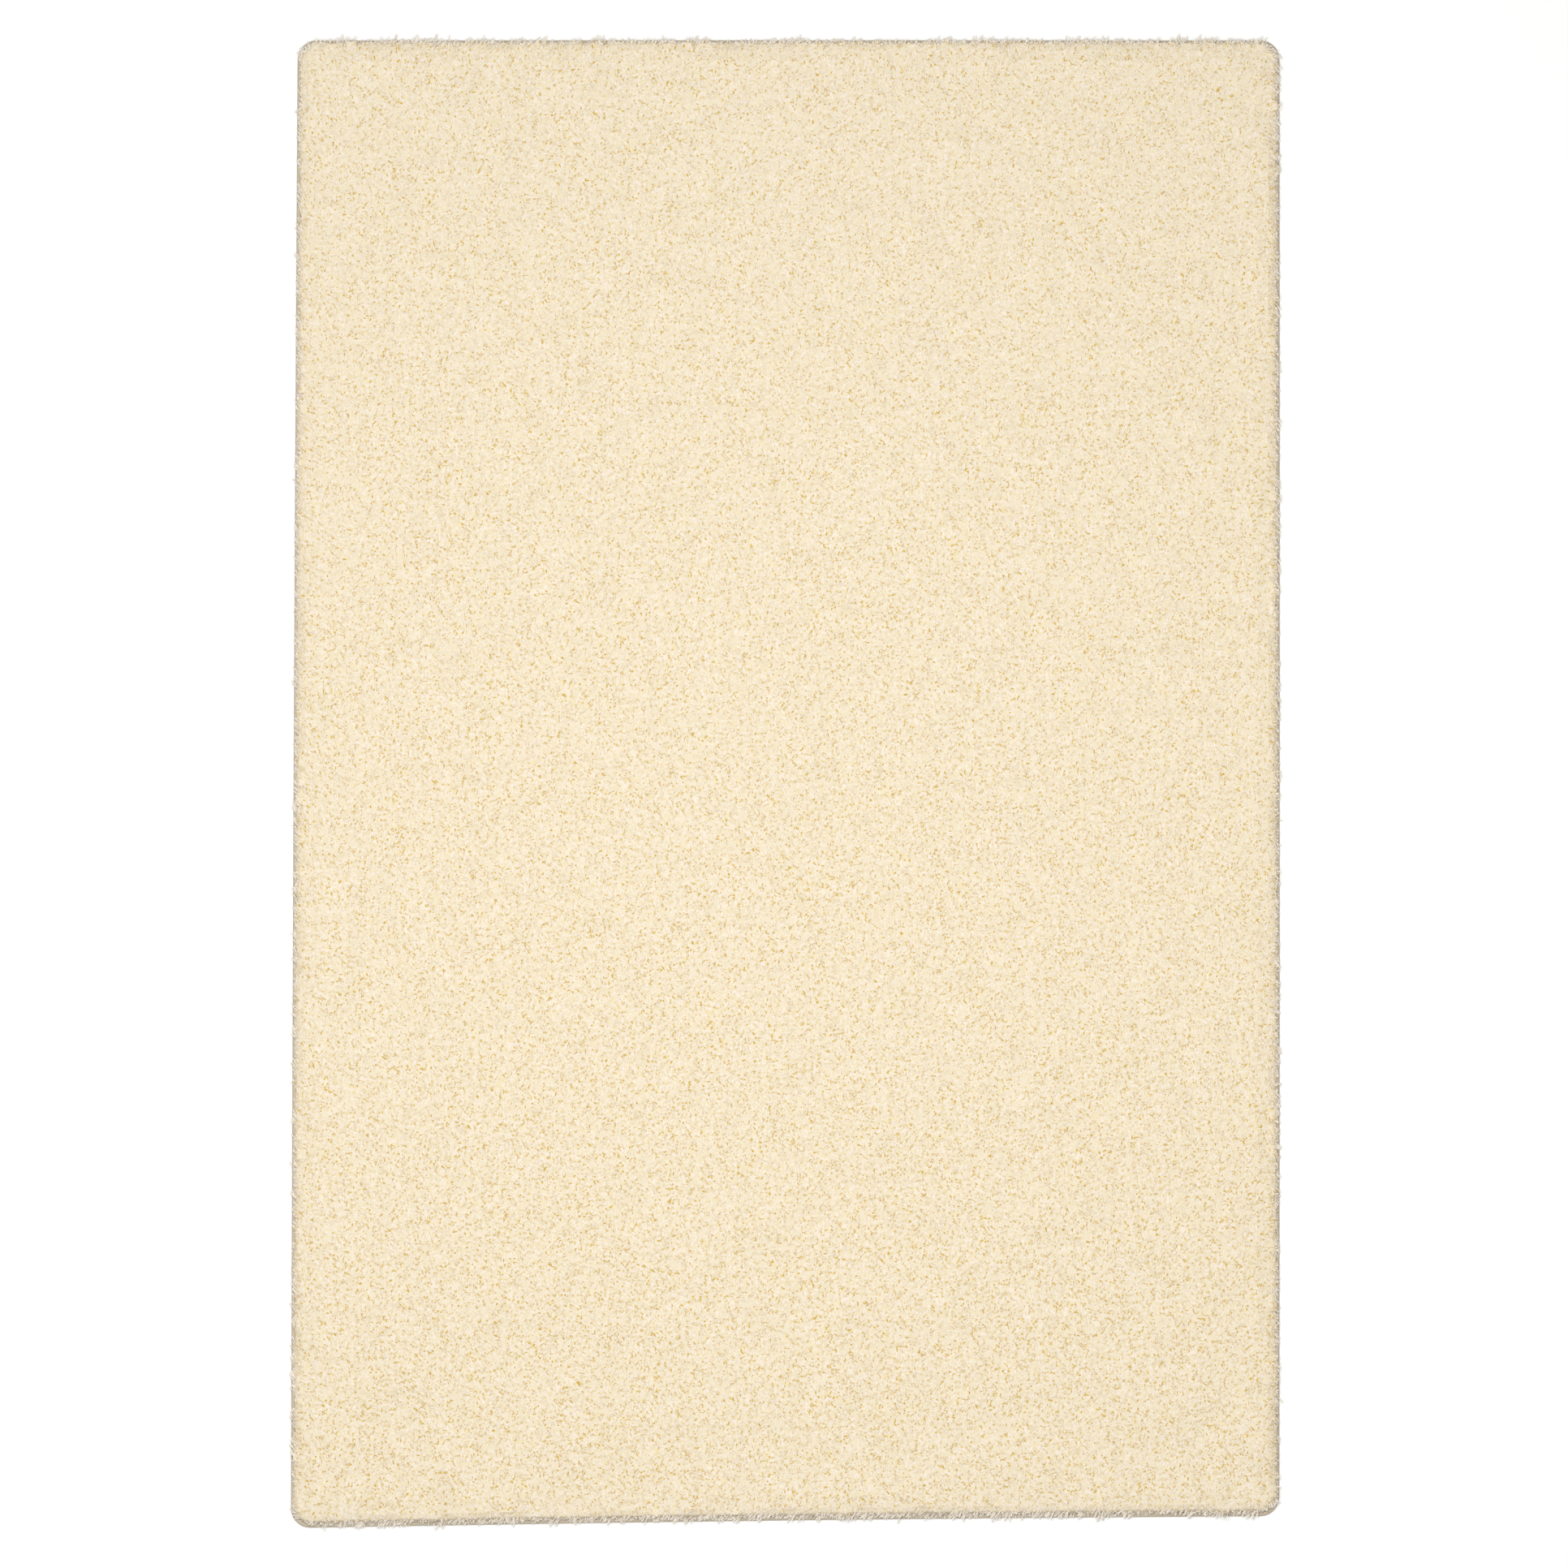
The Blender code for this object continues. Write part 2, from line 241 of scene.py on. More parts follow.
def tuft_tree():
    """Tufts of cut yarn over a surface, each lying along the nap with its cut end up."""
    chosen = {
        "Tries": 2e6,
        "Nap": 0.35,
        "Whorl length": 0.06,
        "Wander": 2.0,
        "Stray": 1.2,
        "Rise": 0.28,
        "Rim splay": 1.6,
        "Roundness": 0.5,
        "Rim inset": 0.002,
        "Full inset": 0.006,
        "Slim width": 0.55,
        "Slim inset": 0.018,
        "Cut share": 0.6,
        "Deep share": 0.65,
        "Deep clusters": 0.3,
        "Cluster length": 0.03,
        "Deep nearer": 0.14,
        "Deep width": 0.52,
        "Low": 0.0045,
        "High": 0.010,
        "Low length": 0.45,
    }
    tree, given = geometry_tree("tufts_over_surface", chosen, ("Spacing", "Width", "Length"))
    add = partial(add_node, tree)
    inside = add("GeometryNodeInputNamedAttribute", {"Name": "rim"})
    inputs = {"Value": inside, "From Min": given["Rim inset"], "From Max": given["Full inset"]}
    inputs = {
        "Mesh": given["Geometry"],
        "Distance Min": given["Spacing"],
        "Density Max": given["Tries"],
        "Density Factor": add(MAP_RANGE, inputs),
        "Seed": given["Seed"],
    }
    spread = add("GeometryNodeDistributePointsOnFaces", inputs, distribute_method="POISSON")
    # Depth: some tufts count as deep between the others, more in clusters and to the near end; they
    # are made narrower, and the material paints them gold as painted shade of the pile's depth
    place = add("GeometryNodeInputPosition")
    scale = add(MATH, {0: 1.0, 1: given["Cluster length"]}, operation="DIVIDE")
    cloudy = add("ShaderNodeTexNoise", {"Vector": place, "Scale": scale, "Detail": 1.0})
    cloudy = add(MATH, {0: cloudy.outputs["Fac"], 1: 0.5}, operation="SUBTRACT")
    clusters = {0: cloudy, 1: given["Deep clusters"], 2: given["Deep share"]}
    clusters = add(MATH, clusters, operation="MULTIPLY_ADD")
    nearer = add("ShaderNodeSeparateXYZ", {0: place}).outputs["Y"]
    nearer = add(MATH, {0: nearer, 1: given["Deep nearer"]}, operation="MULTIPLY")
    level = add(MATH, {0: clusters, 1: nearer}, operation="SUBTRACT")
    tone = own_tone(tree, TUFT_TONE_SEED)
    inputs = {"Value": tone, "From Min": 0.0, "From Max": level, "To Min": 1.0, "To Max": 0.0}
    inputs = {"Geometry": spread, "Name": "deep", "Value": add(MAP_RANGE, inputs)}
    kept = add("GeometryNodeStoreNamedAttribute", inputs)
    deep = add("GeometryNodeInputNamedAttribute", {"Name": "deep"})
    # Way: the rug's nap, its whorls, each tuft's own stray, and outwards near the rim
    scale = add(MATH, {0: 1.0, 1: given["Whorl length"]}, operation="DIVIDE")
    whorl = wandering(tree, place, scale, given["Wander"])
    inputs = {"Min": (-1.0, -1.0, 0.0), "Max": (1.0, 1.0, 0.0), "Seed": TUFT_STRAY_SEED}
    own = add("FunctionNodeRandomValue", inputs, data_type="FLOAT_VECTOR")
    own = add(VECTOR_MATH, {0: own, "Scale": given["Stray"]}, operation="SCALE")
    out = add("GeometryNodeInputNamedAttribute", {"Name": "out"}, data_type="FLOAT_VECTOR")
    splay = add(VECTOR_MATH, {0: out, "Scale": given["Rim splay"]}, operation="SCALE")
    nap = add("ShaderNodeCombineXYZ", {"Y": given["Nap"]})
    way = whorl
    for push in (own, splay, nap):
        way = add(VECTOR_MATH, {0: way, 1: push}, operation="ADD")
    # Laid along the surface there, with its cut end raised
    upward = spread.outputs["Normal"]
    steep = add(VECTOR_MATH, {0: way, 1: upward}, operation="PROJECT")
    way = add(VECTOR_MATH, {0: way, 1: steep}, operation="SUBTRACT")
    way = add(VECTOR_MATH, {0: way}, operation="NORMALIZE")
    climb = add(VECTOR_MATH, {0: upward, "Scale": given["Rise"]}, operation="SCALE")
    way = add(VECTOR_MATH, {0: way, 1: climb}, operation="ADD")
    inputs = {"Primary Axis": way, "Secondary Axis": upward}
    turned = add("FunctionNodeAxesToRotation", inputs, primary_axis="Z", secondary_axis="X")
    radius = add(MATH, {0: given["Width"], 1: math.sqrt(3)}, operation="DIVIDE")
    cut = add(MATH, {0: given["Length"], 1: given["Cut share"]}, operation="MULTIPLY")
    shape = (given["Length"], cut, 0.0, given["Roundness"], given["Rise"])
    yarn = yarn_shape(tree, 1, radius, 0.0, *shape)
    # Size: each its own, narrower where it lies deep or near the rim, and shorter low on the side
    inputs = {"Min": TUFT_LEAST, "Max": TUFT_MOST, "Seed": TUFT_SIZE_SEED}
    size = add("FunctionNodeRandomValue", inputs, data_type="FLOAT_VECTOR")
    high = add("ShaderNodeSeparateXYZ", {0: place}).outputs["Z"]
    inputs = {"Value": high, "From Min": given["Low"], "From Max": given["High"]}
    shorter = add(MAP_RANGE, {**inputs, "To Min": given["Low length"]})
    narrow = add(MAP_RANGE, {"Value": deep, "To Min": 1.0, "To Max": given["Deep width"]})
    inputs = {"Value": inside, "From Min": given["Rim inset"], "From Max": given["Slim inset"]}
    slim = add(MAP_RANGE, {**inputs, "To Min": given["Slim width"]})
    wide = add(MATH, {0: narrow, 1: slim}, operation="MULTIPLY")
    stretch = add("ShaderNodeCombineXYZ", {"X": wide, "Y": wide, "Z": shorter})
    size = add(VECTOR_MATH, {0: size, 1: stretch}, operation="MULTIPLY")
    inputs = {"Points": kept, "Instance": yarn, "Rotation": turned, "Scale": size}
    end_tree(tree, add("GeometryNodeInstanceOnPoints", inputs), tone, given["Material"])
    return tree


def rim_places(tree, given):
    """Points along the given loop, the way along it and the way out of it."""
    add = partial(add_node, tree)
    curve = add("GeometryNodeMeshToCurve", {"Mesh": given["Geometry"]})
    inputs = {"Curve": curve, "Length": given["Pitch"]}
    points = add("GeometryNodeCurveToPoints", inputs, mode="LENGTH")
    along = points.outputs["Tangent"]
    out = add(VECTOR_MATH, {0: along, 1: UP}, operation="CROSS_PRODUCT")
    return points, along, out


# How far a rim yarn's root may lie off its place, as shares of the unevenness
RIM_OFF_PLACE = (1.0, 1.0, 0.4)
# A rim yarn's least and greatest shares of the usual thickness, width and length
RIM_LEAST = (0.85, 0.85, 0.72)
RIM_MOST = (1.2, 1.2, 1.15)
RIM_TONE_SEED = 21
# Span of the lock pattern over which its yarns grow from their least length to their most
LOCKS_FROM, LOCKS_TO = 0.3, 0.7


def rim_tree():
    """Yarns along the rim, splayed outwards, drooping and leaning clockwise round the rug."""
    chosen = {
        "Unevenness": 0.0022,
        "Rise stray": 0.15,
        "Stray": 0.7,
        "Lock length": 0.013,
        "Lock least": 0.55,
        "Lock most": 1.35,
        "Root share": 0.8,
        "Cut share": 1.5,
        "Roundness": 0.5,
    }
    asked = ("Short", "Longer far", "Short corner", "Lean", "Lean long side", "Width")
    asked += tuple(field.capitalize() for field in RimRow._fields)
    tree, given = geometry_tree("yarns_round_rim", chosen, asked)
    add = partial(add_node, tree)
    points, _, out = rim_places(tree, given)
    inputs = {"Geometry": points, "Name": "out", "Value": out}
    kept = add("GeometryNodeStoreNamedAttribute", inputs, data_type="FLOAT_VECTOR")
    out = add("GeometryNodeInputNamedAttribute", {"Name": "out"}, data_type="FLOAT_VECTOR")
    along = add(VECTOR_MATH, {0: UP, 1: out}, operation="CROSS_PRODUCT")
    # Roots: inside the rim by the inset, each a little off its place
    inputs = {"Min": tuple(-c for c in RIM_OFF_PLACE), "Max": RIM_OFF_PLACE, "Seed": given["Seed"]}
    jitter = add("FunctionNodeRandomValue", inputs, data_type="FLOAT_VECTOR")
    jitter = add(VECTOR_MATH, {0: jitter, "Scale": given["Unevenness"]}, operation="SCALE")
    sides = add("ShaderNodeSeparateXYZ", {0: out}).outputs
    inset = add(MATH, {0: given["Inset"], 1: given["Short"]}, operation="ADD")
    longer = add(MATH, {0: sides["Y"], 1: given["Longer far"]}, operation="MULTIPLY")
    corner = add(MATH, {0: sides["X"], 1: sides["Y"]}, operation="MULTIPLY")
    corner = add(MATH, {0: corner}, operation="ABSOLUTE")
    corner = add(MATH, {0: corner, 1: 2.0}, operation="MULTIPLY")
    corner = {0: corner, 1: given["Short corner"], 2: inset}
    inset = add(MATH, corner, operation="MULTIPLY_ADD")
    onward = add(MATH, {0: longer, 1: inset}, operation="SUBTRACT")
    inward = add(VECTOR_MATH, {0: out, "Scale": onward}, operation="SCALE")
    lift = add("ShaderNodeCombineXYZ", {"Z": given["Height"]})
    offset = add(VECTOR_MATH, {0: inward, 1: lift}, operation="ADD")
    offset = add(VECTOR_MATH, {0: offset, 1: jitter}, operation="ADD")
    rooted = add("GeometryNodeSetPosition", {"Geometry": kept, "Offset": offset})
    # Way out: outwards and leaning clockwise, each with its own stray
    long_side = add(MATH, {0: sides["X"]}, operation="ABSOLUTE")
    inputs = {0: long_side, 1: given["Lean long side"], 2: given["Lean"]}
    lean = add(MATH, inputs, operation="MULTIPLY_ADD")
    aside_seed, rise_seed, size_seed = (
        add(MATH, {0: given["Seed"], 1: after}, operation="ADD")
        for after in (1.0, 2.0, 3.0)
    )
    aside = add("FunctionNodeRandomValue", {"Min": -1.0, "Max": 1.0, "Seed": aside_seed})
    aside = add(MATH, {0: aside, 1: given["Stray"]}, operation="MULTIPLY")
    aside = add(MATH, {0: aside, 1: lean}, operation="SUBTRACT")
    aside = add(VECTOR_MATH, {0: along, "Scale": aside}, operation="SCALE")
    steeper = given["Rise stray"]
    flatter = add(MATH, {0: 0.0, 1: steeper}, operation="SUBTRACT")
    rise = add("FunctionNodeRandomValue", {"Min": flatter, "Max": steeper, "Seed": rise_seed})
    rise = add(MATH, {0: rise, 1: given["Rise"]}, operation="ADD")
    bias = add("ShaderNodeCombineXYZ", {"Z": rise})
    way = add(VECTOR_MATH, {0: out, 1: aside}, operation="ADD")
    way = add(VECTOR_MATH, {0: way, 1: bias}, operation="ADD")
    inputs = {"Primary Axis": way, "Secondary Axis": UP}
    turned = add("FunctionNodeAxesToRotation", inputs, primary_axis="Z", secondary_axis="X")
    inputs = {"Min": RIM_LEAST, "Max": RIM_MOST, "Seed": size_seed}
    size = add("FunctionNodeRandomValue", inputs, data_type="FLOAT_VECTOR")
    scale = add(MATH, {0: 1.0, 1: given["Lock length"]}, operation="DIVIDE")
    place = add("GeometryNodeInputPosition")
    locks = add("ShaderNodeTexNoise", {"Vector": place, "Scale": scale, "Detail": 0.0})
    inputs = {"Value": locks, "From Min": LOCKS_FROM, "From Max": LOCKS_TO}
    inputs |= {"To Min": given["Lock least"], "To Max": given["Lock most"]}
    share = add(MAP_RANGE, inputs)
    stretch = add("ShaderNodeCombineXYZ", {"X": 1.0, "Y": 1.0, "Z": share})
    size = add(VECTOR_MATH, {0: size, 1: stretch}, operation="MULTIPLY")
    radius = add(MATH, {0: given["Width"], 1: math.sqrt(3)}, operation="DIVIDE")
    root = add(MATH, {0: radius, 1: given["Root share"]}, operation="MULTIPLY")
    cut = add(MATH, {0: radius, 1: given["Cut share"]}, operation="MULTIPLY")
    shape = (given["Reach"], cut, given["Droop"], given["Roundness"], given["Rise"])
    yarn = yarn_shape(tree, 2, radius, root, *shape)
    planted = add(MATH, {0: locks, 1: given["Bare"]}, operation="GREATER_THAN")
    inputs = {"Points": rooted, "Selection": planted, "Instance": yarn}
    inputs |= {"Rotation": turned, "Scale": size}
    tone = own_tone(tree, RIM_TONE_SEED, given["Palest"])
    end_tree(tree, add("GeometryNodeInstanceOnPoints", inputs), tone, given["Material"])
    return tree


# A stitch starts below the bead's outer side and ends below its inner side
STITCH_START = math.radians(-28)
STITCH_SWEEP = math.radians(214)
STITCH_SEED, STITCH_TONE_SEED = 3, 31


def stitch_tree():
    """Overcast stitches: short arcs of yarn laid side by side over the bead."""
    chosen = {
        "Half width": 0.003,
        "Half height": 0.0022,
        "Height": 0.0024,
        "Inset": 0.003,
        "Slant": 0.25,
        "Stray": 0.06,
    }
    tree, given = geometry_tree("stitches_over_edge", chosen, ("Pitch", "Yarn"))
    add = partial(add_node, tree)
    points, along, out = rim_places(tree, given)
    least = add(MATH, {0: given["Slant"], 1: given["Stray"]}, operation="SUBTRACT")
    most = add(MATH, {0: given["Slant"], 1: given["Stray"]}, operation="ADD")
    slant = add("FunctionNodeRandomValue", {"Min": least, "Max": most, "Seed": given["Seed"]})
    aside = add(VECTOR_MATH, {0: along, "Scale": slant}, operation="SCALE")
    way = add(VECTOR_MATH, {0: out, 1: aside}, operation="ADD")
    inputs = {"Primary Axis": way, "Secondary Axis": UP}
    turned = add("FunctionNodeAxesToRotation", inputs, primary_axis="X", secondary_axis="Z")
    inset = add(MATH, {0: given["Inset"], 1: -1.0}, operation="MULTIPLY")
    inward = add(VECTOR_MATH, {0: out, "Scale": inset}, operation="SCALE")
    lift = add("ShaderNodeCombineXYZ", {"Z": given["Height"]})
    offset = add(VECTOR_MATH, {0: inward, 1: lift}, operation="ADD")
    moved = add("GeometryNodeSetPosition", {"Geometry": points, "Offset": offset})
    # One stitch: part of an ellipse, stood up over the bead from inside to outside
    inputs = {"Resolution": 4, "Start Angle": STITCH_START, "Sweep Angle": STITCH_SWEEP}
    arc = add("GeometryNodeCurveArc", inputs)
    flat = add("ShaderNodeSeparateXYZ", {0: add("GeometryNodeInputPosition")}).outputs
    wide = add(MATH, {0: flat["X"], 1: given["Half width"]}, operation="MULTIPLY")
    high = add(MATH, {0: flat["Y"], 1: given["Half height"]}, operation="MULTIPLY")
    upright = add("ShaderNodeCombineXYZ", {"X": wide, "Z": high})
    stood = add("GeometryNodeSetPosition", {"Geometry": arc.outputs["Curve"], "Position": upright})
    radius = add(MATH, {0: given["Yarn"], 1: 0.5}, operation="MULTIPLY")
    section = add("GeometryNodeCurvePrimitiveCircle", {"Resolution": 3, "Radius": radius})
    inputs = {"Curve": stood, "Profile Curve": section, "Fill Caps": True}
    stitch = add("GeometryNodeCurveToMesh", inputs)
    inputs = {"Points": moved, "Instance": stitch, "Rotation": turned}
    tone = own_tone(tree, STITCH_TONE_SEED)
    end_tree(tree, add("GeometryNodeInstanceOnPoints", inputs), tone, given["Material"])
    return tree


def add_object(name, mesh):
    obj = bpy.data.objects.new(name, mesh)
    bpy.context.scene.collection.objects.link(obj)
    return obj


def grown(name, mesh, tree, settings):
    """An object whose plain mesh is what a node tree makes of the given mesh."""
    obj = add_object(name, mesh)
    modifier = obj.modifiers.new("grow", "NODES")
    modifier.node_group = tree
    identifiers = {
        item.name: item.identifier
        for item in tree.interface.items_tree
        if item.item_type == "SOCKET" and item.in_out == "INPUT"
    }
    for label, value in settings.items():
        modifier[identifiers[label]] = value
    bpy.context.view_layer.update()
    graph = bpy.context.evaluated_depsgraph_get()
    made = bpy.data.meshes.new_from_object(obj.evaluated_get(graph), depsgraph=graph)
    obj.modifiers.remove(modifier)
    obj.data = made
    made.name = name
    return obj


def joined(name, objects):
    """One object with the meshes of all of them."""
    with bpy.context.temp_override(active_object=objects[0], selected_editable_objects=objects):
        bpy.ops.object.join()
    objects[0].name = name
    objects[0].data.name = name
    return objects[0]


def finish_piece(obj, slot, *nodes):
    """Fixes a piece to the rug's body and hides the CAD nodes it replaces; its material slot is not
    used.
    """
    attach(obj, BODY)
    if nodes:
        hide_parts(*nodes)
    return obj


# ---------------------------------------------------------------- shapes from the frame

SAME_POINT = 1e-5
RIM_LINE_HEIGHT = (0.0010, 0.0014)
RIM_STEP = 0.002
# How far inside the rim the yarns end, how much less at the far side and more at the near one,
# and how much further inside in the corners
SHORT = 0.0038
LONGER_FAR = 0.0004
SHORT_CORNER = 0.0026
# Their lean clockwise round the rug for each metre out, and how much more on the long sides
LEAN = 0.8
LEAN_LONG_SIDE = 0.7
# Depths from the rim over which its yarns' way out and their lean fade into the nap
OUT_FADE = 0.030
LEAN_FADE = 0.012
# All sides but the near one count as this much further from the rim: their tufts fill in nearer it,
# and the near side, which faces away from the lamps, keeps the rim's painted shade this much
# further in
CLEARER = 0.008
# A face of the pile's solid is of its side where its normal rises less than this, or where it
# reaches down below this height
PILE_SIDE_SLOPE = 0.3
PILE_TOP_LEAST = 0.0120
# The solid's top slopes down from well inside its edge; its edge is raised, as cut pile stays level
SHOULDER_LIFT = 0.0026
# The side of the pile: share of the way out to the yarns' ends, and share of its height left there,
# the height that it ends at, and the length and size of its waves
SkirtSection = namedtuple("SkirtSection", "share height")
SKIRT_SECTIONS = (SkirtSection(0.45, 0.86), SkirtSection(0.80, 0.59), SkirtSection(1.00, 0.28))
SKIRT_FOOT = 0.0045
SKIRT_WAVE = 0.014
SKIRT_UNEVENNESS = 0.0024


def cad_mesh(node):
    """A CAD node's solid as a bmesh with its loose triangles joined."""
    mesh = bmesh.new()
    mesh.from_mesh(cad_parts[node].data)
    bmesh.ops.remove_doubles(mesh, verts=mesh.verts, dist=SAME_POINT)
    return mesh


def plain_mesh(name, mesh):
    """The bmesh as a mesh, and the bmesh freed."""
    data = bpy.data.meshes.new(name)
    mesh.to_mesh(data)
    mesh.free()
    return data


def put_in_order(mesh):
    """Numbers the bmesh's points, faces and corners by place.

    Blender's own order of them can change from run to run, and what grows on them with it.
    """
    verts = sorted(mesh.verts, key=lambda v: v.co[:])
    places = [v.co[:] for v in verts]
    numbers = {v: i for i, v in enumerate(verts)}
    faces = []
    for face in mesh.faces:
        corners = [numbers[v] for v in face.verts]
        first = corners.index(min(corners))
        faces.append(corners[first:] + corners[:first])
    ordered = bpy.data.meshes.new("ordered")
    ordered.from_pydata(places, [], sorted(faces))
    mesh.clear()
    mesh.from_mesh(ordered)
    bpy.data.meshes.remove(ordered)


def rim_points():
    """The rug's outermost line, from the foot of the CAD binding, anticlockwise from above."""
    low, high = RIM_LINE_HEIGHT
    solid = cad_mesh("edge_binding")
    points = [Vector((*v.co.xy, 0.0)) for v in solid.verts if low < v.co.z < high]
    solid.free()
    return sorted(points, key=lambda p: math.atan2(p.y, p.x))


def rim_loop():
    """The rim as a closed loop of edges on the floor."""
    mesh = bmesh.new()
    verts = [mesh.verts.new(p) for p in rim_points()]
    for vert, after in zip(verts, verts[1:] + verts[:1]):
        mesh.edges.new((vert, after))
    return plain_mesh("rim_loop", mesh)


def rim_finder():
    """Finds the nearest place on the rim."""
    points = rim_points()
    spots = []
    for start, end in zip(points, points[1:] + points[:1]):
        steps = max(1, round((end - start).length / RIM_STEP))
        spots += [start.lerp(end, i / steps) for i in range(steps)]
    finder = KDTree(len(spots))
    for index, spot in enumerate(spots):
        finder.insert(spot, index)
    finder.balance()
    return finder


def way_to_rim(finder, place):
    """The rim's nearest place to one, the level way there and how far it is."""
    flat = Vector((*place.xy, 0.0))
    nearest, _, distance = finder.find(flat)
    return nearest, (nearest - flat).normalized(), distance


def clockwise(out):
    """The lean of the yarns round the rug, where the way out is the given one."""
    return Vector((out.y, -out.x, 0.0)) * (LEAN + LEAN_LONG_SIDE * abs(out.x))


def add_skirt(mesh):
    """Carries the top of the pile on down its side, out to where the yarns end."""
    finder = rim_finder()
    edges = [e for e in mesh.edges if e.is_boundary]
    places = {}
    for vert in {v for e in edges for v in e.verts}:
        nearest, out, distance = way_to_rim(finder, vert.co)
        uneven = noise.noise(Vector((*vert.co.xy, 0.0)) / SKIRT_WAVE) * SKIRT_UNEVENNESS
        short = SHORT - LONGER_FAR * out.y + SHORT_CORNER * 2 * abs(out.x * out.y) + uneven
        places[vert] = (nearest, out, distance, short, vert.co.z)
    for section in SKIRT_SECTIONS:
        made = bmesh.ops.extrude_edge_only(mesh, edges=edges)["geom"]
        new_edges = [g for g in made if isinstance(g, bmesh.types.BMEdge)]
        new_places = {}
        for vert in (g for g in made if isinstance(g, bmesh.types.BMVert)):
            joined_to = (e.other_vert(vert) for e in vert.link_edges)
            before = next(v for v in joined_to if v in places)
            nearest, out, distance, short, top = places[before]
            inset = distance + (short - distance) * section.share
            height = SKIRT_FOOT + (top - SKIRT_FOOT) * section.height
            vert.co = nearest - out * inset + Vector((0.0, 0.0, height))
            new_places[vert] = places[before]
        edges, places = new_edges, new_places
    bmesh.ops.recalc_face_normals(mesh, faces=mesh.faces)
    if sum(f.normal.z * f.calc_area() for f in mesh.faces) < 0:
        bmesh.ops.reverse_faces(mesh, faces=mesh.faces)


def mark_rim(data):
    """Stores each point's depth from the rim, counted further on all sides but the near one, and
    its yarn's way out, which fades inwards.
    """
    finder = rim_finder()
    inside = data.attributes.new("rim", "FLOAT", "POINT")
    out = data.attributes.new("out", "FLOAT_VECTOR", "POINT")
    for index, vert in enumerate(data.vertices):
        _, way, distance = way_to_rim(finder, vert.co)
        inside.data[index].value = distance + CLEARER * (1.0 - max(0.0, -way.y))
        lean = clockwise(way) * math.exp(-distance / LEAN_FADE)
        out.data[index].vector = way * math.exp(-distance / OUT_FADE) + lean


def pile_surface(low_y, high_y, sunk):
    """The pile's top and side between two places along the rug, moved in by the given depth."""
    mesh = cad_mesh("pile")
    side = [
        f
        for f in mesh.faces
        if f.normal.z < PILE_SIDE_SLOPE or min(v.co.z for v in f.verts) < PILE_TOP_LEAST
    ]
    bmesh.ops.delete(mesh, geom=side, context="FACES")
    for vert in mesh.verts:
        if vert.is_boundary:
            vert.co.z += SHOULDER_LIFT
    add_skirt(mesh)
    put_in_order(mesh)
    mesh.normal_update()
    for vert, normal in [(v, v.normal.copy()) for v in mesh.verts]:
        vert.co -= normal * sunk
    for place, way in ((low_y, -1), (high_y, 1)):
        everything = mesh.verts[:] + mesh.edges[:] + mesh.faces[:]
        plane = {"plane_co": (0, place, 0), "plane_no": (0, way, 0)}
        bmesh.ops.bisect_plane(mesh, geom=everything, clear_outer=True, **plane)
    put_in_order(mesh)
    data = plain_mesh("pile_surface", mesh)
    mark_rim(data)
    return data


# ---------------------------------------------------------------- materials


# Yarn and cloth shine less than a plastic does
SPECULAR = 0.2


def new_material(name, roughness, sheen=0.0):
    made = bpy.data.materials.new(name)
    made.use_nodes = True
    shader = made.node_tree.nodes["Principled BSDF"]
    shader.inputs["Roughness"].default_value = roughness
    shader.inputs["Sheen Weight"].default_value = sheen
    shader.inputs["Specular IOR Level"].default_value = SPECULAR
    return made, made.node_tree, shader


def darker(name, share):
    """One of the user's colours at this share of its brightness."""
    return (*(share * c for c in colour(name)[:3]), 1.0)


def two_colours(tree, shader, share, low, high):
    """Paints a shader from one colour to another by this share."""
    inputs = {"Factor": share, "A": low, "B": high}
    both = add_node(tree, "ShaderNodeMix", inputs, data_type="RGBA")
    tree.links.new(both.outputs[2], shader.inputs["Base Color"])


# The yarn ends that are drawn are 1.9 mm across and 3.0 mm along the nap, which is coarser than
# the real ones, so that they show from where the camera is
END_ACROSS, END_ALONG = 1.9 * MM, 3.0 * MM
# Span of the noise from a low end to a high one, and how high it stands
ENDS_FROM, ENDS_TO = 0.38, 0.62
END_HEIGHT = 0.8 * MM
# Distance over which the nap that they follow wanders, and how far
NAP_LENGTH, NAP_WANDER = 0.04, 0.022


def yarn_ends(tree):
    """The fine mottle of single yarn ends, from 0 for the low ones to 1 for those on top."""
    add = partial(add_node, tree)
    place = add("ShaderNodeTexCoord").outputs["Object"]
    push = wandering(tree, place, 1.0 / NAP_LENGTH, NAP_WANDER)
    place = add(VECTOR_MATH, {0: place, 1: push}, operation="ADD")
    grain = (1 / END_ACROSS, 1 / END_ALONG, 1 / (2 * END_ALONG))
    place = add(VECTOR_MATH, {0: place, 1: grain}, operation="MULTIPLY")
    mottle = add("ShaderNodeTexNoise", {"Vector": place, "Scale": 1.0, "Detail": 1.0})
    inputs = {"Value": mottle, "From Min": ENDS_FROM, "From Max": ENDS_TO}
    return add(MAP_RANGE, inputs)


# Yellower patches: their length, the span of noise over which they come up, and their most
PATCH_LENGTH = 0.05
PATCH_FROM, PATCH_TO, PATCH_MOST = 0.35, 0.65, 0.03
# The rim's colour: where it starts to fade inwards, its share there, and how dark low ends are
# painted there as shade
RIM_FULL, RIM_SHARE, RIM_LOW_END_SHADE = 0.007, 0.8, 0.92


